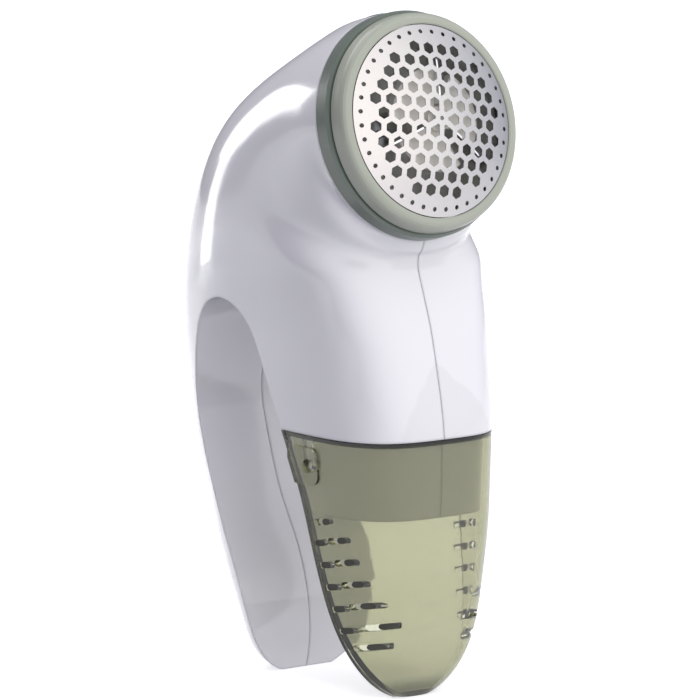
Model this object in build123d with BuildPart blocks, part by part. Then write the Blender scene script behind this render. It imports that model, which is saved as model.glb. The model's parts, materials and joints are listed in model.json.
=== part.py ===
from build123d import *
from math import cos, pi, radians, sin, sqrt
import os

os.makedirs("parts", exist_ok=True)

# Battery fabric shaver shaped like a hook, in millimetres. It stands on the tips of its
# two legs: +Z up, the cutting head faces -Y, and the mould parting plane is X = 0.
# Side profiles are drawn as (y, z) with y = 0 a little behind the head. DEPTH_MIDDLE then
# brings the middle of the overall depth to the origin.
DEPTH_MIDDLE = 9.2

# ---- driving dimensions -------------------------------------------------------------
WALL = 2.0                # body shells
BIN_WALL = 1.7            # lint bin, which slips over the skirt with SKIRT_CLEARANCE
SKIRT_CLEARANCE = 0.3
SKIRT_WALL = 1.4
SEAM = 0.08               # half the hairline between the two shells
HEAD_TILT = 13.4          # the cutting head looks up by this angle
APEX_Y, APEX_Z = -38.1, 150.2   # top of the foil dome
HEAD_RADIUS = 29.5        # round mouth of the body behind the head
MOUTH_DEPTH = 13.8        # from the foil apex back to that mouth
DOME_RADIUS = 72.0
HEX_PITCH = 4.2
HEX_FLATS = 2.8
PINHOLE = 1.15
JUNCTION_Z = 68.6         # top edge of the lint bin
SKIRT_Z = 48.5            # lower edge of the skirt inside the bin
CELL_RADIUS, CELL_LENGTH = 5.1, 43.3   # AAA cell without its nub
MOTOR_RADIUS, MOTOR_LENGTH = 12.0, 25.0

# ---- frames --------------------------------------------------------------------------
tilt = radians(HEAD_TILT)
outward = (0, -cos(tilt), sin(tilt))
apex = (0, APEX_Y - DEPTH_MIDDLE, APEX_Z)
side = Plane(origin=(0, -DEPTH_MIDDLE, 0), x_dir=(0, 1, 0), z_dir=(1, 0, 0))
head = Plane(origin=apex, x_dir=(1, 0, 0), z_dir=outward)
axial = Plane(origin=apex, x_dir=(1, 0, 0), z_dir=(0, -sin(tilt), -cos(tilt)))
head_axis = Axis(apex, outward)


def head_turned(angle):
    """The head plane turned about its own axis, counter-clockwise seen from the front."""
    turn = radians(angle)
    return Plane(origin=apex, x_dir=(cos(turn), sin(turn) * sin(tilt), sin(turn) * cos(tilt)), z_dir=outward)


def save(piece, name):
    """Label a finished piece and write its STEP file."""
    piece.part.label = name
    export_step(piece.part, f"parts/{name}.step")


# ---- outer form: half sections lofted from the leg tips over the top to the mouth ------
# front (y, z), back (y, z), half width, fullness of the front and of the back, and where
# along the section it is widest
mouth_y = APEX_Y + MOUTH_DEPTH * cos(tilt)
mouth_z = APEX_Z - MOUTH_DEPTH * sin(tilt)
mouth_low = (mouth_y - HEAD_RADIUS * sin(tilt), mouth_z - HEAD_RADIUS * cos(tilt))
mouth_high = (mouth_y + HEAD_RADIUS * sin(tilt), mouth_z + HEAD_RADIUS * cos(tilt))
stations = [
    (mouth_low, mouth_high, HEAD_RADIUS, 2.0, 2.0, 0.50),
    ((-30.2, 116.2), (-0.5, 169.1), 29.0, 2.1, 2.3, 0.50),
    ((-28.9, 114.6), (17.8, 158.0), 28.6, 2.3, 2.9, 0.47),
    ((-28.4, 113.0), (35.2, 143.5), 29.0, 2.6, 3.0, 0.44),
    ((-28.5, 111.0), (46.0, 123.9), 29.5, 3.7, 2.9, 0.43),
    ((-30.2, 106.0), (52.8, 106.0), 28.8, 4.1, 2.7, 0.43),
    ((-35.3, 90.0), (56.6, 90.0), 27.3, 3.8, 2.5, 0.43),
    ((-37.6, 80.0), (56.7, 80.0), 26.8, 3.6, 2.4, 0.43),
    ((-39.2, 70.0), (55.5, 70.0), 26.3, 3.5, 2.4, 0.43),
    ((-39.6, 60.0), (53.0, 60.0), 26.0, 3.4, 2.4, 0.44),
    ((-39.3, 50.0), (49.8, 50.0), 25.7, 3.4, 2.3, 0.45),
    ((-38.6, 41.0), (46.2, 41.0), 25.2, 3.5, 2.3, 0.47),
    ((-37.5, 33.0), (42.5, 33.0), 24.6, 3.6, 2.3, 0.50),
    ((-34.9, 20.0), (35.8, 20.0), 23.1, 3.9, 2.4, 0.50),
    ((-33.0, 11.0), (32.0, 11.0), 20.6, 3.9, 2.6, 0.50),
    ((-31.6, 5.5), (30.5, 5.5), 17.2, 3.7, 2.8, 0.50),
    ((-30.1, 2.0), (28.9, 2.0), 13.4, 3.4, 2.9, 0.50),
    ((-28.8, 0.0), (27.2, 0.0), 9.6, 3.0, 2.9, 0.50),
]
OUTLINE_STEPS = 16


def half_section(station, inset):
    """The plane of one section and its right-hand outline, moved in by inset."""
    front, back, half_width, front_power, back_power, widest = station
    length = sqrt((back[0] - front[0]) ** 2 + (back[1] - front[1]) ** 2)
    along = ((back[0] - front[0]) / length, (back[1] - front[1]) / length)
    plane = Plane(
        origin=(0, front[0] - DEPTH_MIDDLE, front[1]),
        x_dir=(0, along[0], along[1]),
        z_dir=(0, along[1], -along[0]),
    )
    middle = widest * length
    points = []
    for step in range(OUTLINE_STEPS + 1):
        share = step / OUTLINE_STEPS          # closer together next to the parting plane
        angle = pi * (0.4 * share + 0.3 * (1 - cos(pi * share)))
        power = front_power if step <= OUTLINE_STEPS / 2 else back_power
        reach = middle - inset if step <= OUTLINE_STEPS / 2 else length - middle - inset
        swing = abs(cos(angle)) ** (2 / power) * (1 if step <= OUTLINE_STEPS / 2 else -1)
        x = (half_width - inset) * sin(angle) ** (2 / power) if 0 < step < OUTLINE_STEPS else 0
        points.append((middle - reach * swing, x))
    return plane, points


def half_form(inset, last=len(stations)):
    """Right half of the whole outer form, with every wall moved in by inset."""
    with BuildPart() as half:
        for station in stations[:last]:
            plane, points = half_section(station, inset)
            with BuildSketch(plane):
                with BuildLine():
                    Spline(*points, tangents=[(0, 1), (0, -1)])
                    Line(points[-1], points[0])
                make_face()
        loft()
    return half.part


gap_outline = [
    (-25.7, -4), (-25.0, 9), (-19.9, 25), (-16.0, 40), (-12.7, 52), (-5.6, 68), (1.0, 83), (8.3, 96),
    (18.0, 100.8), (28.6, 97.4), (36.2, 84.5), (38.6, 73), (35.6, 60), (30.4, 46),
    (22.5, 32), (18.2, 19), (20.6, -4),
]  # up the front leg, over the top and down the rear leg


def gap_form(grow=0):
    """The finger gap between the legs, as a bar along X, with its walls moved out by grow."""
    edge = []
    for index, (y, z) in enumerate(gap_outline):
        before = gap_outline[max(index - 1, 0)]
        after = gap_outline[min(index + 1, len(gap_outline) - 1)]
        run, rise = after[0] - before[0], after[1] - before[1]
        edge.append((y - grow * rise / sqrt(run**2 + rise**2), z + grow * run / sqrt(run**2 + rise**2)))
    with BuildPart() as gap:
        with BuildSketch(side.offset(-40)):
            with BuildLine():
                Spline(*edge)
                Line(edge[-1], edge[0])
            make_face()
        extrude(amount=80)
    return gap.part


outer_half = half_form(0)
gap = gap_form()


def whole(half):
    """Both halves of a form that is symmetric about the parting plane."""
    return half + mirror(half, about=Plane.YZ)


def hollow(inset, last=len(stations) - 1):
    """Right half of the inner space that a wall of this thickness leaves."""
    return half_form(inset, last) - gap_form(inset)


form_half = outer_half - gap
room_half = hollow(WALL)
inside = whole(hollow(WALL + 0.2))      # what the inner pieces may fill
bin_room = whole(hollow(BIN_WALL))

# ---- shared cutters --------------------------------------------------------------------
PULL_ANGLE = 8.5                         # the bin pulls off down and forward along this
pull = (-sin(radians(PULL_ANGLE)), -cos(radians(PULL_ANGLE)))
PEG_Y, PEG_Z = -16.2, 60.9
PEG_RADIUS = 1.5
DOOR_HALF_WIDTH = 14.0
DOOR_LOW, DOOR_HIGH = 16.0, 78.0
SWITCH_Y, SWITCH_Z = 50.4, 114.0         # middle of the switch pocket on the back
SWITCH_LEAN = 20.5                       # the back leans by this angle there
SWITCH_TRAVEL = 5.0
screw_places = [(30.0, 138.0), (-13.5, 79.5), (47.5, 92.0), (25.8, 18.0)]

with BuildPart() as bin_zone:            # everything of the front leg below the junction
    with BuildSketch(side.offset(-40)):
        with BuildLine():
            Polyline((-60, JUNCTION_Z - 1.0), (8, JUNCTION_Z + 0.9), (-5, -8), (-60, -8), close=True)
        make_face()
    extrude(amount=80)

with BuildPart() as skirt_zone:          # band of the front leg that carries the skirt
    with BuildSketch(side.offset(-40)):
        with BuildLine():
            Polyline((-60, SKIRT_Z - 1.2), (-2, SKIRT_Z + 0.2), (6, JUNCTION_Z + 3), (-60, JUNCTION_Z + 3),
                     close=True)
        make_face()
    extrude(amount=80)


def door_zone(clearance):
    """Block around the battery door on the back of the rear leg."""
    with BuildPart() as zone:
        with BuildSketch(side.offset(-DOOR_HALF_WIDTH - clearance)):
            with BuildLine():
                Polyline((30.5 - clearance, DOOR_LOW - clearance), (75, DOOR_LOW - 12 - clearance),
                         (75, DOOR_HIGH + clearance), (46.5 - clearance, DOOR_HIGH + clearance), close=True)
            make_face()
        extrude(amount=2 * (DOOR_HALF_WIDTH + clearance))
    return zone.part


def across(radius, place, start=0, length=30):
    """Cylinder along +X at a (y, z) place of the side drawing."""
    with BuildPart() as bar:
        with BuildSketch(side.offset(start)):
            with Locations(place):
                Circle(radius)
        extrude(amount=length)
    return bar.part


switch_plane = Plane(
    origin=(0, SWITCH_Y - DEPTH_MIDDLE, SWITCH_Z),
    x_dir=(1, 0, 0),
    z_dir=(0, cos(radians(SWITCH_LEAN)), sin(radians(SWITCH_LEAN))),
)
POCKET_DEPTH = 1.3

with BuildPart() as switch_cut:          # flat pocket with a slot for the stem in its floor
    with BuildSketch(switch_plane.offset(-POCKET_DEPTH)):
        RectangleRounded(11, 20, 3)
    extrude(amount=12)
    with BuildSketch(switch_plane.offset(-8)):
        RectangleRounded(3.4, 3.0 + SWITCH_TRAVEL + 0.8, 1.4)
    extrude(amount=8)

# ---- battery compartment: two AAA cells side by side, along the rear leg ----------------
CELL_TILT = 20.3
CELL_SPACING = 12.0
cell_foot = (28.5, 19.5)                          # (y, z) where the cells' axes start
cell_up = (sin(radians(CELL_TILT)), cos(radians(CELL_TILT)))


def cell_plane(x, rise):
    """Plane square to the cells' axes, rise millimetres above their foot."""
    return Plane(
        origin=(x, cell_foot[0] + rise * cell_up[0] - DEPTH_MIDDLE, cell_foot[1] + rise * cell_up[1]),
        x_dir=(1, 0, 0),
        z_dir=(0, cell_up[0], cell_up[1]),
    )


CELL_START = 8.0
CELL_END = CELL_START + CELL_LENGTH + 1.0
with BuildPart() as cell_room:            # thins the walls where the right-hand cell lies
    with BuildSketch(cell_plane(CELL_SPACING / 2, CELL_START - 6)):
        Circle(CELL_RADIUS + 0.3)
    extrude(amount=CELL_LENGTH + 13)
cell_pocket = cell_room.part

# ---- body shells -------------------------------------------------------------------------
skirt_half = (hollow(BIN_WALL + SKIRT_CLEARANCE) - hollow(BIN_WALL + SKIRT_CLEARANCE + SKIRT_WALL))
skirt_half = skirt_half & skirt_zone.part
bosses = [across(3.4, place) & form_half for place in screw_places]

shell_half = form_half - room_half - bin_zone.part
shell_half = shell_half + skirt_half
for boss in bosses:
    shell_half = shell_half + boss
shell_half = shell_half - door_zone(0.15) - switch_cut.part - cell_pocket - across(1.2, (PEG_Y, PEG_Z), 15, 20)

with BuildPart() as right_shell:
    add(shell_half)
    for place in screw_places:
        add(across(1.3, place, -1, 40), mode=Mode.SUBTRACT)
        add(across(2.7, place, 9, 40), mode=Mode.SUBTRACT)
    with BuildSketch(Plane.YZ):
        Rectangle(300, 600)
    extrude(amount=SEAM, mode=Mode.SUBTRACT)
save(right_shell, "right_shell")

with BuildPart() as left_shell:
    add(mirror(shell_half, about=Plane.YZ))
    for place in screw_places:
        add(across(1.05, place, -9, 10), mode=Mode.SUBTRACT)
    with BuildSketch(Plane.YZ):
        Rectangle(300, 600)
    extrude(amount=-SEAM, mode=Mode.SUBTRACT)
save(left_shell, "left_shell")

for number, place in enumerate(screw_places, start=1):
    with BuildPart() as screw:
        with BuildSketch(side.offset(-8)):
            with Locations(place):
                Circle(1.0)
        extrude(amount=17)
        with BuildSketch(side.offset(9)):
            with Locations(place):
                Circle(2.5)
        extrude(amount=1.8)
        for turn in (0, 90):
            with BuildSketch(side.offset(10)):
                with Locations(place):
                    Rectangle(3.0, 0.6, rotation=turn)
            extrude(amount=2, mode=Mode.SUBTRACT)
    save(screw, f"screw_{number}")

# ---- lint bin ------------------------------------------------------------------------------
VENT_HEIGHT = 1.7
VENT_PITCH = 5.57
VENT_TOP = 46.4


def vent(start_y, z, length, start_x):
    """Pair of slots, square to the bin's pull direction, cut outwards from x = start_x."""
    middle = (start_y - length / 2, z + length / 2 * sin(radians(PULL_ANGLE)))
    with BuildPart() as slot:
        with BuildSketch(side.offset(start_x)):
            with Locations(middle):
                SlotOverall(length, VENT_HEIGHT, rotation=-PULL_ANGLE)
        extrude(amount=40)
    return slot.part + mirror(slot.part, about=Plane.YZ)


def back_edge(z):
    """Depth of the bin's back edge at a height."""
    return -15.8 - 0.298 * (41.0 - z)


with BuildPart() as pad_outline:
    with BuildSketch(side.offset(-40)):
        with Locations((PEG_Y + 2.1, PEG_Z)):
            RectangleRounded(11.6, 9.6, 2.4)
    extrude(amount=80)

with BuildPart() as peg_lane:            # groove inside the wall from the rim to the hole
    with BuildSketch(side):
        with Locations((PEG_Y - 7 * pull[0], PEG_Z - 7 * pull[1])):
            SlotCenterToCenter(14, 3.4, rotation=90 - PULL_ANGLE)
    extrude(amount=40)

bin_outer = whole(outer_half) - gap
pads = (whole(half_form(-0.7)) - gap) & pad_outline.part
lane_depth = whole(half_form(BIN_WALL - 1.05) & peg_lane.part)

rim_groove = (gap_form(1.5) - gap_form(1.0)) & bin_zone.part    # fine line along the bin's back edge
rim_groove = rim_groove - whole(half_form(0.25))

with BuildPart() as lint_bin:
    add(bin_outer & bin_zone.part)
    add(pads)
    add(bin_room, mode=Mode.SUBTRACT)
    add(lane_depth, mode=Mode.SUBTRACT)
    with BuildSketch(side.offset(-40)):
        with Locations((PEG_Y, PEG_Z)):
            Circle(PEG_RADIUS + 0.3)
    extrude(amount=80, mode=Mode.SUBTRACT)
    with BuildSketch(side.offset(-40)):          # hairline under the white body
        with BuildLine():
            Polyline((-60, JUNCTION_Z - 1.2), (8, JUNCTION_Z + 0.7), (8, 90), (-60, 90), close=True)
        make_face()
    extrude(amount=80, mode=Mode.SUBTRACT)
    add(vent(back_edge(VENT_TOP) - 3.1, VENT_TOP, 5.7, 15), mode=Mode.SUBTRACT)
    for row in range(1, 6):
        z = VENT_TOP - row * VENT_PITCH
        add(vent(back_edge(z) - 0.7, z, 4.4, 21.5 - 0.9 * row), mode=Mode.SUBTRACT)
        add(vent(back_edge(z) - 6.2, z + 1.2, 5.6 + 0.1 * row, 19.5 - 1.9 * row), mode=Mode.SUBTRACT)
    z = VENT_TOP - 6 * VENT_PITCH
    add(vent(back_edge(z) - 2.3, z + 1.3, 6.2, 11.0), mode=Mode.SUBTRACT)
    add(rim_groove, mode=Mode.SUBTRACT)
save(lint_bin, "lint_bin")

for name, sign in (("catch_peg_right", 1), ("catch_peg_left", -1)):
    with BuildPart() as catch_peg:
        tip = 25.6 - BIN_WALL - SKIRT_CLEARANCE
        with BuildSketch(side.offset(sign * (tip - 3.2))):
            with Locations((PEG_Y, PEG_Z)):
                Circle(1.2)
        extrude(amount=sign * 3.7)
        with BuildSketch(side.offset(sign * (tip + 0.5))):
            with Locations((PEG_Y, PEG_Z)):
                Circle(PEG_RADIUS)
        extrude(amount=sign * 1.0)
        fillet(catch_peg.faces().sort_by(Axis.X)[-1 if sign > 0 else 0].edges(), 0.8)
    save(catch_peg, name)

# ---- battery door ----------------------------------------------------------------------------
with BuildPart() as battery_door:
    add(whole((form_half & door_zone(0)) - room_half - cell_pocket))
    for rib in range(4):                          # finger ridges near the top
        with BuildSketch(Plane.XY.offset(DOOR_HIGH - 8 - 3 * rib)):
            with Locations((0, 62 - DEPTH_MIDDLE)):
                Rectangle(14, 11.5)
        extrude(amount=1.0, mode=Mode.SUBTRACT)
save(battery_door, "battery_door")


# ---- head: everything is turned about the head axis, drawn as (radius, depth behind apex) -------
def turned(outline):
    """Solid of revolution from a closed outline of (radius, depth) points."""
    with BuildPart() as solid:
        with BuildSketch(axial):
            with BuildLine():
                Polyline(*[(radius, -depth) for radius, depth in outline], close=True)
            make_face()
        revolve(axis=head_axis)
    return solid.part


def sag(radius, dome=DOME_RADIUS):
    """How far the dome has dropped behind its apex at a radius."""
    return dome - sqrt(dome**2 - radius**2)


RING_SIDE = 28.3
with BuildPart() as foil_ring:                    # light front ring that holds the foil
    add(turned([(24.95, 4.4), (25.3, 4.15), (26.3, 4.15), (27.0, 4.4), (27.55, 4.85), (27.9, 5.45), (28.1, 6.2),
                (RING_SIDE, 8.8), (26.7, 8.8), (26.7, 5.6), (24.95, 5.6)]))
save(foil_ring, "foil_ring")

with BuildPart() as collar_ring:                  # dark ring between the front ring and the body
    add(turned([(27.2, 9.3), (28.7, 9.3), (29.3, 9.9), (29.4, MOUTH_DEPTH - 0.15),
                (26.8, MOUTH_DEPTH - 0.15), (26.8, 17.5), (25.7, 17.5), (25.7, 7.0), (26.4, 7.0), (26.4, 9.3)]))
save(collar_ring, "collar_ring")

FOIL_THICKNESS = 0.3
FOIL_EDGE = 24.7
PATTERN_TURN = 9.0                                # the hole rows lean by this angle
hex_places = []
for row in range(-5, 6):
    for column in range(-5, 6):
        u = (column + (row % 2) / 2) * HEX_PITCH
        v = row * HEX_PITCH * sqrt(3) / 2
        distance = sqrt(u * u + v * v)
        if 0.9 * HEX_PITCH < distance < 4.98 * HEX_PITCH:
            hex_places.append((u, v))

with BuildPart() as foil:
    with BuildSketch(axial):
        with BuildLine():
            rim = (FOIL_EDGE, -sag(FOIL_EDGE))
            ThreePointArc((0, 0), (FOIL_EDGE / 2, -sag(FOIL_EDGE / 2)), rim)
            Polyline(rim, (FOIL_EDGE, -6.0), (26.2, -6.0), (26.2, -6.3), (FOIL_EDGE - FOIL_THICKNESS, -6.3),
                     (FOIL_EDGE - FOIL_THICKNESS, -sag(FOIL_EDGE) - FOIL_THICKNESS))
            ThreePointArc((FOIL_EDGE - FOIL_THICKNESS, -sag(FOIL_EDGE) - FOIL_THICKNESS),
                          (FOIL_EDGE / 2, -sag(FOIL_EDGE / 2) - FOIL_THICKNESS), (0, -FOIL_THICKNESS))
            Line((0, -FOIL_THICKNESS), (0, 0))
        make_face()
    revolve(axis=head_axis)
    pattern = head_turned(-PATTERN_TURN)
    with BuildSketch(pattern):
        with Locations(*hex_places):
            RegularPolygon(HEX_FLATS / 2, 6, major_radius=False, rotation=30)
    extrude(amount=-12, mode=Mode.SUBTRACT)
    with BuildSketch(pattern):
        Circle(PINHOLE / 2)
        with PolarLocations(0.6 * HEX_PITCH, 6):
            Circle(PINHOLE / 2)
        with PolarLocations(5.44 * HEX_PITCH, 40):
            Circle(PINHOLE / 2)
    extrude(amount=-12, mode=Mode.SUBTRACT)
save(foil, "foil")

# rotor: a hub with three broad wings, each with a steel blade along its leading edge
ROTOR_TURN = 80.0
BLADE_GAP = 0.25                                  # between the blades and the foil
BLADE_FOOT = 6.2                                  # depth of the blades' lower edge
WING_TOP = 3.0
WING_RADIUS = 13.3
WING_SWEEP = 97.0
with BuildPart() as rotor_hub:
    for wing in range(3):
        with BuildSketch(head_turned(ROTOR_TURN + 120 * wing).offset(-WING_TOP - 2.2)):
            with BuildLine():
                edge = CenterArc((0, 0), WING_RADIUS, 1.1, WING_SWEEP)
                Polyline(edge @ 1, (-0.3, 2.0), (2.0, 0.255), edge @ 0)
            make_face()
        extrude(amount=2.2)
    with BuildSketch(head.offset(-1.6)):
        Circle(3.2)
    extrude(amount=-8)
    with BuildSketch(head.offset(-BLADE_FOOT - 5.2)):
        Circle(5.0)
        Circle(3.4, mode=Mode.SUBTRACT)
    extrude(amount=3)
    with BuildSketch(head.offset(-BLADE_FOOT - 6)):
        Circle(1.6)
    extrude(amount=4, mode=Mode.SUBTRACT)
save(rotor_hub, "rotor_hub")

for number in range(3):
    with BuildPart() as blade:
        with BuildSketch(axial):
            with BuildLine():
                inner, outer_end = 4.0, 21.0
                dome = DOME_RADIUS - FOIL_THICKNESS - BLADE_GAP
                top = FOIL_THICKNESS + BLADE_GAP
                start = (inner, -top - sag(inner, dome))
                end = (outer_end, -top - sag(outer_end, dome))
                middle = (0.5 * (inner + outer_end), -top - sag(0.5 * (inner + outer_end), dome))
                ThreePointArc(start, middle, end)
                Polyline(end, (outer_end, -BLADE_FOOT), (inner, -BLADE_FOOT), start)
            make_face()
        extrude(amount=0.25, both=True)
    turn = ROTOR_TURN + 120 * number
    with BuildPart() as rotor_blade:
        add(blade.part.rotate(head_axis, turn))
    save(rotor_blade, f"rotor_blade_{number + 1}")

with BuildPart() as drive_coupler:                # slides in the hub and sits on the shaft
    with BuildSketch(head.offset(-19.5)):
        Circle(4.0)
    extrude(amount=3)
    with BuildSketch(head.offset(-16.5)):
        RegularPolygon(1.45, 6)
    extrude(amount=6)
    with BuildSketch(head.offset(-20)):
        Circle(1.0)
    extrude(amount=7, mode=Mode.SUBTRACT)
save(drive_coupler, "drive_coupler")

with BuildPart() as rotor_spring:
    spring_seat = head.offset(-16.2)
    with BuildLine() as coil:
        Helix(pitch=1.15, height=4.6, radius=2.6, center=spring_seat.origin, direction=outward)
    with BuildSketch(Plane(origin=coil.line @ 0, z_dir=coil.line % 0)):
        Circle(0.22)
    sweep(is_frenet=True)
save(rotor_spring, "rotor_spring")

MOTOR_FRONT = 28.6
with BuildPart() as motor_shaft:
    with BuildSketch(head.offset(-MOTOR_FRONT - MOTOR_LENGTH - 1.5)):
        Circle(1.0)
    extrude(amount=MOTOR_FRONT + MOTOR_LENGTH + 1.5 - 13.2)
save(motor_shaft, "motor_shaft")

# cup that the lint falls through, open at the bottom towards the bin
CUP_OUTER, CUP_INNER, CUP_BACK = 25.4, 24.2, 23.5
with BuildPart() as cutter_cup:
    add(turned([(CUP_INNER, 10.0), (CUP_OUTER, 10.0), (CUP_OUTER, CUP_BACK), (5.0, CUP_BACK),
                (5.0, CUP_BACK - 1.5), (CUP_INNER, CUP_BACK - 1.5)]))
    with BuildSketch(head.offset(-12)):
        with Locations((0, -20)):
            Rectangle(30, 26)
    extrude(amount=-8, mode=Mode.SUBTRACT)
    for angle in (45, 135):
        with BuildSketch(head.offset(-CUP_BACK + 0.3)):
            with Locations((19 * cos(radians(angle)), 19 * sin(radians(angle)))):
                Circle(1.6)
        extrude(amount=0.9)
save(cutter_cup, "cutter_cup")

with BuildPart() as motor_mount:                  # bulkhead across the barrel
    with BuildSketch(head.offset(-CUP_BACK - 0.4)):
        Circle(27.0)
    extrude(amount=-2.2)
    with BuildSketch(head.offset(-CUP_BACK - 2.6)):
        Circle(14.4)
        Circle(MOTOR_RADIUS + 0.15, mode=Mode.SUBTRACT)
    extrude(amount=-12)
    with BuildSketch(head):
        Circle(4.2)
        with PolarLocations(8.0, 2):
            Circle(1.1)
    extrude(amount=-60, mode=Mode.SUBTRACT)
    add(inside, mode=Mode.INTERSECT)
save(motor_mount, "motor_mount")

with BuildPart() as chute_wall:                   # keeps the lint out of the wiring
    with BuildSketch(side.offset(-40)):
        with BuildLine():
            Polyline((-15.4, 116.0), (-2.2, 85.5), (-3.8, 85.0), (-17.0, 115.4), close=True)
        make_face()
    extrude(amount=80)
    add(inside, mode=Mode.INTERSECT)
    for place in screw_places:
        add(across(3.8, place, -40, 80), mode=Mode.SUBTRACT)
save(chute_wall, "chute_wall")

with BuildPart() as motor_can:
    with BuildSketch(head.offset(-MOTOR_FRONT)):
        Circle(MOTOR_RADIUS)
        Rectangle(2 * MOTOR_RADIUS, 19.4, mode=Mode.INTERSECT)
    extrude(amount=-MOTOR_LENGTH)
    with BuildSketch(head.offset(-MOTOR_FRONT)):
        Circle(3.4)
    extrude(amount=1.6)
    with BuildSketch(head.offset(-MOTOR_FRONT + 2)):
        Circle(1.15)
    extrude(amount=-MOTOR_LENGTH - 3, mode=Mode.SUBTRACT)
save(motor_can, "motor_can")

with BuildPart() as motor_cap:
    with BuildSketch(head.offset(-MOTOR_FRONT - MOTOR_LENGTH)):
        Circle(MOTOR_RADIUS - 0.5)
        Rectangle(2 * MOTOR_RADIUS, 18.4, mode=Mode.INTERSECT)
    extrude(amount=-2.4)
    with BuildSketch(head.offset(-MOTOR_FRONT - MOTOR_LENGTH - 2.4)):
        with GridLocations(13, 0, 2, 1):
            Rectangle(0.6, 2.4)
    extrude(amount=-3)
    with BuildSketch(head.offset(-MOTOR_FRONT - MOTOR_LENGTH + 1)):
        Circle(1.15)
    extrude(amount=-3, mode=Mode.SUBTRACT)
save(motor_cap, "motor_cap")

# ---- cells, springs and contact plates ------------------------------------------------------------
for name, x, nub_up in (("cell_left", -CELL_SPACING / 2, True), ("cell_right", CELL_SPACING / 2, False)):
    with BuildPart() as cell:
        with BuildSketch(cell_plane(x, CELL_START if nub_up else CELL_START + 1.0)):
            Circle(CELL_RADIUS)
        extrude(amount=CELL_LENGTH)
        with BuildSketch(cell_plane(x, CELL_START + CELL_LENGTH if nub_up else CELL_START)):
            Circle(1.9)
        extrude(amount=1.0)
    save(cell, name)

for name, x, rise in (("cell_spring_left", -CELL_SPACING / 2, CELL_START - 4.6),
                      ("cell_spring_right", CELL_SPACING / 2, CELL_END + 0.4)):
    with BuildPart() as cell_spring:
        seat = cell_plane(x, rise)
        with BuildLine() as spiral:
            Helix(pitch=1.4, height=4.0, radius=2.8, center=seat.origin, direction=seat.z_dir)
        with BuildSketch(Plane(origin=spiral.line @ 0, z_dir=spiral.line % 0)):
            Circle(0.28)
        sweep(is_frenet=True)
    save(cell_spring, name)

for name, x, width, rise in (("contact_plate_low", 0, 18, CELL_START - 5.4),
                             ("contact_plate_left", -CELL_SPACING / 2, 8, CELL_END + 0.1),
                             ("contact_plate_right", CELL_SPACING / 2, 8, CELL_END + 5.0)):
    with BuildPart() as contact_plate:
        with BuildSketch(cell_plane(x, rise)):
            Rectangle(width, 6.4)
        extrude(amount=0.3)
    save(contact_plate, name)

# ---- switch --------------------------------------------------------------------------------------
with BuildPart() as switch_knob:
    with BuildSketch(switch_plane.offset(-POCKET_DEPTH + 0.1)):
        with Locations((0, -SWITCH_TRAVEL / 2)):
            RectangleRounded(9.4, 12.4, 2.4)
    extrude(amount=2.6)
    fillet(switch_knob.faces().sort_by(Axis(switch_plane.origin, switch_plane.z_dir))[-1].edges(), 0.6)
    for ridge in range(3):
        with BuildSketch(switch_plane.offset(-POCKET_DEPTH + 2.3)):
            with Locations((0, -SWITCH_TRAVEL / 2 + 2.4 * (ridge - 1))):
                Rectangle(6.4, 0.8)
        extrude(amount=1, mode=Mode.SUBTRACT)
    with BuildSketch(switch_plane.offset(-5.2)):
        with Locations((0, -SWITCH_TRAVEL / 2)):
            Rectangle(2.6, 2.8)
    extrude(amount=5.2 - POCKET_DEPTH + 0.2)
save(switch_knob, "switch_knob")

with BuildPart() as switch_body:
    with BuildSketch(switch_plane.offset(-4.2)):
        Rectangle(10, 16)
    extrude(amount=-4.2)
    with BuildSketch(switch_plane.offset(-6.4)):
        Rectangle(3.6, 3.4 + SWITCH_TRAVEL + 1.2)
    extrude(amount=4, mode=Mode.SUBTRACT)
save(switch_body, "switch_body")


# ---- leads ---------------------------------------------------------------------------------------
def lead(name, points):
    """Insulated wire through hand-chosen (x, y, z) points of the side drawing."""
    route = [(x, y - DEPTH_MIDDLE, z) for x, y, z in points]
    with BuildPart() as wire:
        with BuildLine() as path:
            Spline(*route)
        with BuildSketch(Plane(origin=path.line @ 0, z_dir=path.line % 0)):
            Circle(0.65)
        sweep()
    save(wire, name)


lead("lead_red", [(-6.0, 48.0, 80.5), (-7.5, 51.3, 86.0), (-8.5, 52.0, 92.0), (-9.0, 49.0, 101.0),
                  (-10.0, 41.0, 114.0), (-8.5, 32.0, 126.0), (-6.5, 25.0, 133.6)])
lead("lead_black", [(6.0, 49.5, 84.5), (7.0, 51.5, 88.0), (7.5, 52.0, 93.0), (6.0, 46.2, 101.5), (3.0, 42.2, 107.3)])
lead("lead_switch", [(3.0, 40.4, 114.7), (4.0, 37.3, 120.0), (6.0, 31.0, 127.0), (6.5, 25.0, 133.6)])
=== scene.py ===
import json
from math import cos, pi, radians, sin

import bpy
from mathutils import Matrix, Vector


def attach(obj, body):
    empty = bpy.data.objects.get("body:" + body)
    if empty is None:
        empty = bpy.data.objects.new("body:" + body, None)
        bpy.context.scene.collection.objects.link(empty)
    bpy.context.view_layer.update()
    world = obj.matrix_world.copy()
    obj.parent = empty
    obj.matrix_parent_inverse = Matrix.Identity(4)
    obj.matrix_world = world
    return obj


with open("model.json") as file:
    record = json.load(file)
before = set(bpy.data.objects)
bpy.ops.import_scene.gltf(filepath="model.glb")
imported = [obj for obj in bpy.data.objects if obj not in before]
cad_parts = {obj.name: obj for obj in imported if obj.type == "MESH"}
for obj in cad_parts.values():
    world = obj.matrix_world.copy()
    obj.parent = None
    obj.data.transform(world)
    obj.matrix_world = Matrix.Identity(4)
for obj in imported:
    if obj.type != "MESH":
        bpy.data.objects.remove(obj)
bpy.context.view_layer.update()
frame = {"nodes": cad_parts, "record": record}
nodes = frame["nodes"]
record = frame["record"]
MM = 0.001

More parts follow.
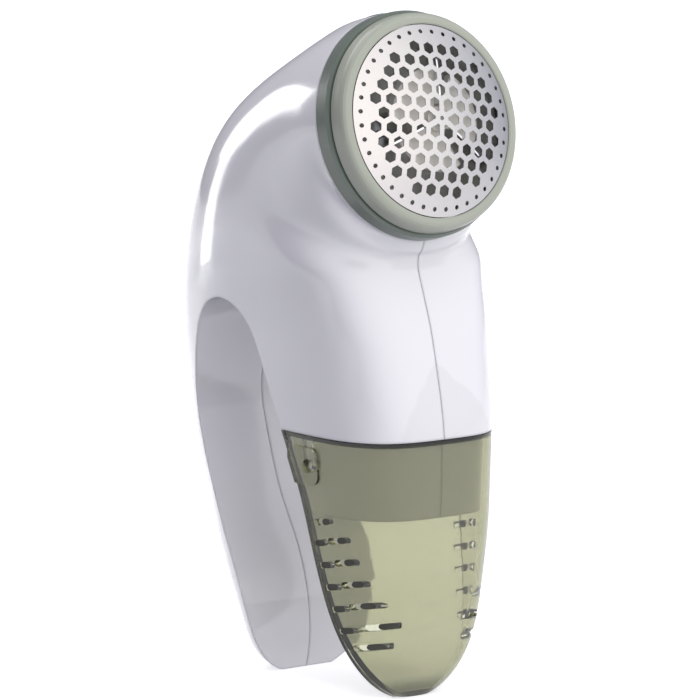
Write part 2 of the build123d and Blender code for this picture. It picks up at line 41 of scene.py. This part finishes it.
# ---- camera: a long lens, from the left of the head and a little above --------------------
CAMERA_AZIMUTH, CAMERA_RISE = -37.6, 8.0
CAMERA_DISTANCE = 1.3008
LENS, SENSOR = 257.14, 36.0
target = Vector((0, -0.0092, 0.0868))
a, e = radians(CAMERA_AZIMUTH), radians(CAMERA_RISE)
toward = Vector((sin(a) * cos(e), -cos(a) * cos(e), sin(e)))
camera_data = bpy.data.cameras.new("camera")
camera_data.lens = LENS
camera_data.sensor_width = SENSOR
camera_data.clip_start = 0.05
camera_data.clip_end = 30
camera = bpy.data.objects.new("camera", camera_data)
camera.location = target + toward * CAMERA_DISTANCE
camera.rotation_euler = toward.to_track_quat("Z", "Y").to_euler()
bpy.context.scene.collection.objects.link(camera)
bpy.context.scene.camera = camera


# ---- materials -------------------------------------------------------------------------------
def material(name):
    """New node material and its principled shader."""
    made = bpy.data.materials.new(name)
    made.use_nodes = True
    return made, made.node_tree, made.node_tree.nodes["Principled BSDF"]


def noise(tree, scale, detail=3.0):
    """Noise in the object's own coordinates, in cells per metre."""
    coordinates = tree.nodes.new("ShaderNodeTexCoord")
    texture = tree.nodes.new("ShaderNodeTexNoise")
    texture.inputs["Scale"].default_value = scale
    texture.inputs["Detail"].default_value = detail
    tree.links.new(coordinates.outputs["Object"], texture.inputs["Vector"])
    return texture.outputs["Fac"]


def ramp(tree, source, low, high):
    """Map 0..1 to a range of values."""
    made = tree.nodes.new("ShaderNodeMapRange")
    made.inputs["To Min"].default_value = low
    made.inputs["To Max"].default_value = high
    tree.links.new(source, made.inputs["Value"])
    return made.outputs["Result"]


def tint(tree, source, dark, light):
    """Blend two colours by a 0..1 value."""
    made = tree.nodes.new("ShaderNodeMix")
    made.data_type = "RGBA"
    made.inputs["A"].default_value = (*dark, 1)
    made.inputs["B"].default_value = (*light, 1)
    tree.links.new(source, made.inputs["Factor"])
    return made.outputs["Result"]


def bump(tree, shader, source, height, edge=0.0):
    """Bump of a real height in metres, on edges rounded by a radius in metres."""
    made = tree.nodes.new("ShaderNodeBump")
    made.inputs["Distance"].default_value = height
    tree.links.new(source, made.inputs["Height"])
    if edge > 0:
        rounded = tree.nodes.new("ShaderNodeBevel")
        rounded.samples = 4
        rounded.inputs["Radius"].default_value = edge
        tree.links.new(rounded.outputs["Normal"], made.inputs["Normal"])
    tree.links.new(made.outputs["Normal"], shader.inputs["Normal"])


def plastic(name, colour, roughness=0.2, coat=0.25, grain=900, depth=0.000004, edge=0.0):
    """Moulded plastic: slight tone variation, fine surface ripple, uneven gloss."""
    made, tree, shader = material(name)
    darker = tuple(0.965 * c for c in colour)
    tree.links.new(tint(tree, noise(tree, 35, 2), darker, colour), shader.inputs["Base Color"])
    gloss = ramp(tree, noise(tree, 220, 4), roughness * 0.85, roughness * 1.2)
    tree.links.new(gloss, shader.inputs["Roughness"])
    bump(tree, shader, noise(tree, grain, 3), depth, edge)
    shader.inputs["IOR"].default_value = 1.49
    shader.inputs["Coat Weight"].default_value = coat
    shader.inputs["Coat Roughness"].default_value = 0.06
    return made


def metal(name, colour, roughness=0.25, grain=1500, depth=0.0000008):
    """Metal with a fine, slightly uneven finish."""
    made, tree, shader = material(name)
    darker = tuple(0.96 * c for c in colour)
    grain_value = noise(tree, grain, 4)
    tree.links.new(tint(tree, grain_value, darker, colour), shader.inputs["Base Color"])
    tree.links.new(ramp(tree, grain_value, roughness * 0.93, roughness * 1.08), shader.inputs["Roughness"])
    bump(tree, shader, grain_value, depth)
    shader.inputs["Metallic"].default_value = 1.0
    return made


def foil_with_painted_shade(name, bright, painted_shade_tint, roughness, reach):
    """Thin sheet steel, with painted shade: darker and bluer towards its right-hand side."""
    made = metal(name, bright, roughness)
    tree = made.node_tree
    shader = tree.nodes["Principled BSDF"]
    # painted shade: a left-to-right ramp across the foil multiplies its colour by the shade tint
    place = tree.nodes.new("ShaderNodeSeparateXYZ")
    coordinates = tree.nodes.new("ShaderNodeTexCoord")
    tree.links.new(coordinates.outputs["Object"], place.inputs["Vector"])
    side = tree.nodes.new("ShaderNodeMapRange")
    side.inputs["From Min"].default_value = -reach
    side.inputs["From Max"].default_value = reach
    tree.links.new(place.outputs["X"], side.inputs["Value"])
    shade = tree.nodes.new("ShaderNodeMix")
    shade.data_type = "RGBA"
    shade.blend_type = "MULTIPLY"
    shade.inputs["B"].default_value = (*painted_shade_tint, 1)
    tree.links.new(side.outputs["Result"], shade.inputs["Factor"])
    tree.links.new(shader.inputs["Base Color"].links[0].from_socket, shade.inputs["A"])
    tree.links.new(shade.outputs["Result"], shader.inputs["Base Color"])
    return made


def calc(tree, operation, first, second):
    """Math node on two sources or numbers."""
    made = tree.nodes.new("ShaderNodeMath")
    made.operation = operation
    for socket, value in zip(made.inputs, (first, second)):
        if isinstance(value, (int, float)):
            socket.default_value = value
        else:
            tree.links.new(value, socket)
    return made.outputs["Value"]


def profile(tree, source, points, span, low, high):
    """Smooth curve through (input, output) points, in mm: input 0..span, output low..high."""
    curve = tree.nodes.new("ShaderNodeFloatCurve")
    handles = curve.mapping.curves[0].points
    for handle, (at, value) in zip(handles, (points[0], points[-1])):
        handle.location = (at / span, (value - low) / (high - low))
    for at, value in points[1:-1]:
        handles.new(at / span, (value - low) / (high - low))
    curve.mapping.update()
    tree.links.new(calc(tree, "DIVIDE", source, span * MM), curve.inputs["Value"])
    scaled = calc(tree, "MULTIPLY", curve.outputs["Value"], (high - low) * MM)
    return calc(tree, "ADD", scaled, low * MM)


# edge of the lint bin next to the finger gap: (height, depth) and (height, half width), in mm
BACK_EDGE = ((0, -34.8), (9, -34.2), (17, -32.2), (25, -29.1), (40, -25.2), (52, -21.9), (70, -13.6))
EDGE_WIDTH = ((0, 8.0), (3.5, 12.4), (6, 15.0), (9.3, 17.8), (13, 20.0), (17, 21.4), (25, 22.8), (41, 24.6),
              (54, 25.5), (70, 26.0))
CORNER_DEPTH, CORNER_WIDTH = 0.5 * MM, 1.0 * MM    # painted shade: a dark corner along that edge
HIGHLIGHT_NEAR, HIGHLIGHT_FAR = 1.0 * MM, 1.7 * MM           # painted highlight: a light line beside it, in from the edge
RIM_SLOPE, RIM_LEVEL = 0.0279, 68.23 * MM          # plane under which the rim's dark line of painted shade begins
TIP_DARK, TIP_CLEAR = 2 * MM, 6 * MM               # heights between which the tip's shade fades
TIP_SHADE = 0.35
# colours of the painted shade and of the painted highlight line
PAINTED_SHADE_COLOUR, PAINTED_HIGHLIGHT_COLOUR = (0.06, 0.065, 0.045), (0.96, 0.96, 0.80)


def clear_plastic(name, colour, absorption, density, roughness=0.04):
    """See-through plastic that tints by its thickness, darker with painted shade at its rim, its back edge
    and its tip, with a painted highlight line in from its back edge.
    """
    made, tree, shader = material(name)
    coordinates = tree.nodes.new("ShaderNodeTexCoord")
    place = tree.nodes.new("ShaderNodeSeparateXYZ")
    tree.links.new(coordinates.outputs["Object"], place.inputs["Vector"])
    across, depth, height = place.outputs
    edge_depth = profile(tree, height, BACK_EDGE, 70, -40, 0)
    edge_width = profile(tree, height, EDGE_WIDTH, 70, 0, 30)
    # painted shade masks: along the back edge, above the rim plane and at the tip
    near_back = calc(tree, "GREATER_THAN", depth, calc(tree, "SUBTRACT", edge_depth, CORNER_DEPTH))
    side_limit = calc(tree, "SUBTRACT", edge_width, CORNER_WIDTH)
    near_side = calc(tree, "GREATER_THAN", calc(tree, "ABSOLUTE", across, 0), side_limit)
    near_back = calc(tree, "MULTIPLY", near_back, near_side)
    rim = calc(tree, "ADD", calc(tree, "MULTIPLY", depth, RIM_SLOPE), RIM_LEVEL)
    near_rim = calc(tree, "GREATER_THAN", height, rim)
    near_tip = tree.nodes.new("ShaderNodeMapRange")
    near_tip.interpolation_type = "SMOOTHSTEP"
    near_tip.inputs["From Min"].default_value = TIP_CLEAR
    near_tip.inputs["From Max"].default_value = TIP_DARK
    near_tip.inputs["To Max"].default_value = TIP_SHADE
    tree.links.new(height, near_tip.inputs["Value"])
    dark = calc(tree, "MAXIMUM", calc(tree, "MAXIMUM", near_back, near_rim), near_tip.outputs["Result"])
    plain = tint(tree, noise(tree, 40, 2), tuple(0.95 * c for c in colour), colour)
    # painted highlight: a light band a little in from the back edge
    inset = calc(tree, "SUBTRACT", edge_depth, depth)
    past_near = calc(tree, "GREATER_THAN", inset, HIGHLIGHT_NEAR)
    line = calc(tree, "MULTIPLY", past_near, calc(tree, "LESS_THAN", inset, HIGHLIGHT_FAR))
    line = calc(tree, "MULTIPLY", line, near_side)
    lit = tree.nodes.new("ShaderNodeMix")
    lit.data_type = "RGBA"
    lit.inputs["B"].default_value = (*PAINTED_HIGHLIGHT_COLOUR, 1)
    tree.links.new(line, lit.inputs["Factor"])
    tree.links.new(plain, lit.inputs["A"])
    # painted shade: the base colour goes dark over those masks
    shade = tree.nodes.new("ShaderNodeMix")
    shade.data_type = "RGBA"
    shade.inputs["B"].default_value = (*PAINTED_SHADE_COLOUR, 1)
    tree.links.new(dark, shade.inputs["Factor"])
    tree.links.new(lit.outputs["Result"], shade.inputs["A"])
    tree.links.new(shade.outputs["Result"], shader.inputs["Base Color"])
    gloss = ramp(tree, noise(tree, 300, 3), roughness * 0.7, roughness * 1.6)
    tree.links.new(gloss, shader.inputs["Roughness"])
    bump(tree, shader, noise(tree, 500, 2), 0.000004)
    shader.inputs["Transmission Weight"].default_value = 0.96
    shader.inputs["IOR"].default_value = 1.49
    inside = tree.nodes.new("ShaderNodeVolumeAbsorption")
    inside.inputs["Color"].default_value = (*absorption, 1)
    inside.inputs["Density"].default_value = density
    tree.links.new(inside.outputs["Volume"], tree.nodes["Material Output"].inputs["Volume"])
    return made


WHITE = (0.80, 0.79, 0.81)
looks = {
    "white_shell": plastic("white_plastic", WHITE, roughness=0.13, coat=0.3, edge=0.0011),
    "sage_ring": plastic("sage_plastic", (0.40, 0.425, 0.345), roughness=0.3, coat=0.15),
    "green_collar": plastic("green_plastic", (0.13, 0.16, 0.13), roughness=0.3, coat=0.15),
    # foil: its own colour, with painted shade towards its right-hand side
    "foil_steel": foil_with_painted_shade("foil_steel", (0.62, 0.585, 0.57), (0.66, 0.71, 0.74),
                               roughness=0.26, reach=0.024),
    "blade_steel": metal("blade_steel", (0.75, 0.75, 0.76), roughness=0.2),
    "rotor_white": plastic("rotor_plastic", (0.82, 0.79, 0.72), roughness=0.35, coat=0.0),
    "spring_steel": metal("spring_wire", (0.7, 0.7, 0.72), roughness=0.15),
    "inner_plastic": plastic("inner_plastic", (0.62, 0.62, 0.58), roughness=0.4, coat=0.0),
    "motor_steel": metal("motor_steel", (0.6, 0.61, 0.63), roughness=0.3),
    "motor_black": plastic("motor_plastic", (0.03, 0.03, 0.035), roughness=0.5, coat=0.0),
    # bin: its own tint, with painted shade at its rim, back edge and tip and a painted highlight line
    "bin_green": clear_plastic("bin_plastic", (0.93, 0.93, 0.90), (0.50, 0.50, 0.24), 430),
    "peg_white": plastic("peg_plastic", (0.85, 0.84, 0.86), roughness=0.2),
    "cell_wrap": plastic("cell_sleeve", (0.05, 0.16, 0.22), roughness=0.3),
    "contact_nickel": metal("contact_nickel", (0.72, 0.70, 0.64), roughness=0.25),
    "switch_green": plastic("switch_plastic", (0.13, 0.16, 0.13), roughness=0.3, coat=0.15),
    "switch_black": plastic("switch_body", (0.04, 0.04, 0.04), roughness=0.5, coat=0.0),
    "wire_red": plastic("wire_red", (0.5, 0.02, 0.02), roughness=0.45, coat=0.0),
    "wire_black": plastic("wire_black", (0.03, 0.03, 0.03), roughness=0.45, coat=0.0),
    "screw_steel": metal("screw_steel", (0.6, 0.6, 0.62), roughness=0.3),
}
for entry in record["subparts"]:
    node = nodes[entry["node"]]
    node.data.materials.clear()
    node.data.materials.append(looks[entry["material_slot"]])

# ---- dark plates of painted shade in the vents of the lint bin ------------------------------
BIN_PULL = radians(8.5)              # the slots lie square to this direction
SLOT_HEIGHT = 1.7
TOP_ROW, ROW_PITCH = 46.4, 5.57
SHADE_PLATE_DEPTHS = (0.75, 0.45)         # outer and inner face, outwards from the inside of the wall
SHADE_PLATE_CLEARANCE = 0.02
SHADE_PLATE_SHARE = 0.62                  # of the length of the longer slots
END_CORNERS = 10                     # points on each round end


def covered(back, z, length):
    """The front share of a slot, which its dark plate of painted shade closes."""
    cut = (1 - SHADE_PLATE_SHARE) * length
    return back - cut, z + cut * sin(BIN_PULL), SHADE_PLATE_SHARE * length


def shade_plate_places():
    """(back end, height, length) of each plate of painted shade on one side of the bin, in mm."""
    rows = []
    for row in range(7):
        z = TOP_ROW - row * ROW_PITCH
        edge = -25.0 - 0.298 * (41.0 - z)
        if row == 0:
            rows.append(covered(edge - 3.1, z, 5.7))
        elif row == 6:
            rows.append(covered(edge - 2.3, z + 1.3, 6.2))
        else:
            rows.append((edge - 0.7, z, 4.4))
            rows.append(covered(edge - 6.2, z + 1.2, 5.6 + 0.1 * row))
    return rows


def inner_face(node, y, z):
    """How far the inside of the bin's wall is from its middle plane, in mm."""
    outer = node.ray_cast((60 * MM, y * MM, z * MM), (-1, 0, 0))[1]
    inner = node.ray_cast((outer.x - 0.05 * MM, y * MM, z * MM), (-1, 0, 0))[1]
    return inner.x / MM


def turned(middle, along, up):
    """(y, z) of a place given along and up from a slot's middle."""
    y = middle[0] + along * cos(BIN_PULL) + up * sin(BIN_PULL)
    z = middle[1] - along * sin(BIN_PULL) + up * cos(BIN_PULL)
    return y, z


def vent_shade_plates(node):
    """Thin plates that close the front share of each slot near its inner end, as painted shade in the
    slots.
    """
    radius = SLOT_HEIGHT / 2 - SHADE_PLATE_CLEARANCE
    points, faces = [], []
    for back, z, length in shade_plate_places():
        middle = (back - length / 2, z + length / 2 * sin(BIN_PULL))
        outline = []
        for end in (1, -1):
            for step in range(END_CORNERS):
                turn = pi * (step / (END_CORNERS - 1) - end / 2)
                along = end * (length - SLOT_HEIGHT) / 2 + radius * cos(turn)
                outline.append((along, radius * sin(turn)))
        centre, ahead = (inner_face(node, *turned(middle, along, SLOT_HEIGHT)) for along in (0, -1))
        slope = min(max(centre - ahead, 0), 1)
        for side in (1, -1):
            rings = []
            for depth in SHADE_PLATE_DEPTHS:
                ring = []
                for along, up in outline:
                    x = centre + slope * along + depth
                    y, height = turned(middle, along, up)
                    ring.append(len(points))
                    points.append((side * x * MM, y * MM, height * MM))
                rings.append(ring)
            outer, inner = rings
            corner_count = len(outline)
            added = [outer, inner[::-1]]
            for n in range(corner_count):
                after = (n + 1) % corner_count
                added.append([outer[n], inner[n], inner[after], outer[after]])
            faces += added if side > 0 else [loop[::-1] for loop in added]
    mesh = bpy.data.meshes.new("vent_shade_plates")
    mesh.from_pydata(points, [], faces)
    made = bpy.data.objects.new("vent_shade_plates", mesh)
    bpy.context.scene.collection.objects.link(made)
    return made


shade_plates = vent_shade_plates(nodes["lint_bin"])
# painted shade: near-black plastic on the plates, standing in for the shadowed walls of the slots
shade_plates.data.materials.append(plastic("shade_plate_plastic", (0.05, 0.05, 0.04), roughness=0.45, coat=0.0))
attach(shade_plates, "bin")

# ---- studio --------------------------------------------------------------------------------------
floor_data = bpy.data.meshes.new("floor")
SPAN = 4.0
corners = [(-SPAN, -SPAN, 0), (SPAN, -SPAN, 0), (SPAN, SPAN, 0), (-SPAN, SPAN, 0)]
floor_data.from_pydata(corners, [], [(0, 1, 2, 3)])
floor = bpy.data.objects.new("floor", floor_data)
bpy.context.scene.collection.objects.link(floor)
floor_look, floor_tree, floor_shader = material("floor_paint")
floor_shader.inputs["Base Color"].default_value = (0.97, 0.97, 0.97, 1)
floor_shader.inputs["Roughness"].default_value = 0.8
floor_shader.inputs["Specular IOR Level"].default_value = 0.1
floor_shader.inputs["Emission Color"].default_value = (1, 1, 1, 1)
floor_shader.inputs["Emission Strength"].default_value = 0.5
floor_data.materials.append(floor_look)
floor.visible_diffuse = False

# pale room: brightest in front and to the right, dim and slightly blue behind on the left
ROOM = ((-1.0, 0.17), (-0.35, 0.17), (0.0, 0.29), (0.35, 0.68), (0.7, 1.24), (1.0, 1.7))
PEAK = 1.7
world = bpy.data.worlds.new("studio")
world.use_nodes = True
sky = world.node_tree
direction = sky.nodes.new("ShaderNodeTexCoord")
facing = sky.nodes.new("ShaderNodeVectorMath")
facing.operation = "DOT_PRODUCT"
facing.inputs[1].default_value = (0.26, -0.89, 0.37)
sky.links.new(direction.outputs["Generated"], facing.inputs[0])
spread = sky.nodes.new("ShaderNodeMapRange")
spread.inputs["From Min"].default_value = -1.0
sky.links.new(facing.outputs["Value"], spread.inputs["Value"])
levels = sky.nodes.new("ShaderNodeValToRGB")
levels.color_ramp.interpolation = "EASE"
levels.color_ramp.elements[0].position = 0.0
levels.color_ramp.elements[1].position = 1.0
for place, level in ROOM[1:-1]:
    levels.color_ramp.elements.new(0.5 + 0.5 * place)
for stop, (place, level) in zip(levels.color_ramp.elements, ROOM):
    blue = 1.0 + 0.24 * (1 - level / PEAK)
    stop.color = (level / PEAK, level / PEAK, min(blue * level / PEAK, 1.0), 1)
sky.links.new(spread.outputs["Result"], levels.inputs["Fac"])
sky.links.new(levels.outputs["Color"], sky.nodes["Background"].inputs["Color"])
sky.nodes["Background"].inputs["Strength"].default_value = PEAK
bpy.context.scene.world = world
bpy.context.scene.view_settings.view_transform = "Standard"


def softbox(name, azimuth, rise, distance, size, power):
    """Rectangular area light aimed at the middle of the object."""
    turn, lift = radians(azimuth), radians(rise)
    place = target + distance * Vector((sin(turn) * cos(lift), -cos(turn) * cos(lift), sin(lift)))
    data = bpy.data.lights.new(name, "AREA")
    data.shape = "RECTANGLE"
    data.size, data.size_y = size
    data.energy = power
    lamp = bpy.data.objects.new(name, data)
    lamp.location = place
    lamp.rotation_euler = (place - target).to_track_quat("Z", "Y").to_euler()
    lamp.visible_transmission = False
    bpy.context.scene.collection.objects.link(lamp)


softbox("strip", -161, 8, 0.6, (0.10, 0.33), 0.56)
softbox("shoulder", -163, 13, 1.5, (0.42, 0.38), 2.9)
softbox("rear", -165, 55, 1.6, (1.2, 1.0), 9)
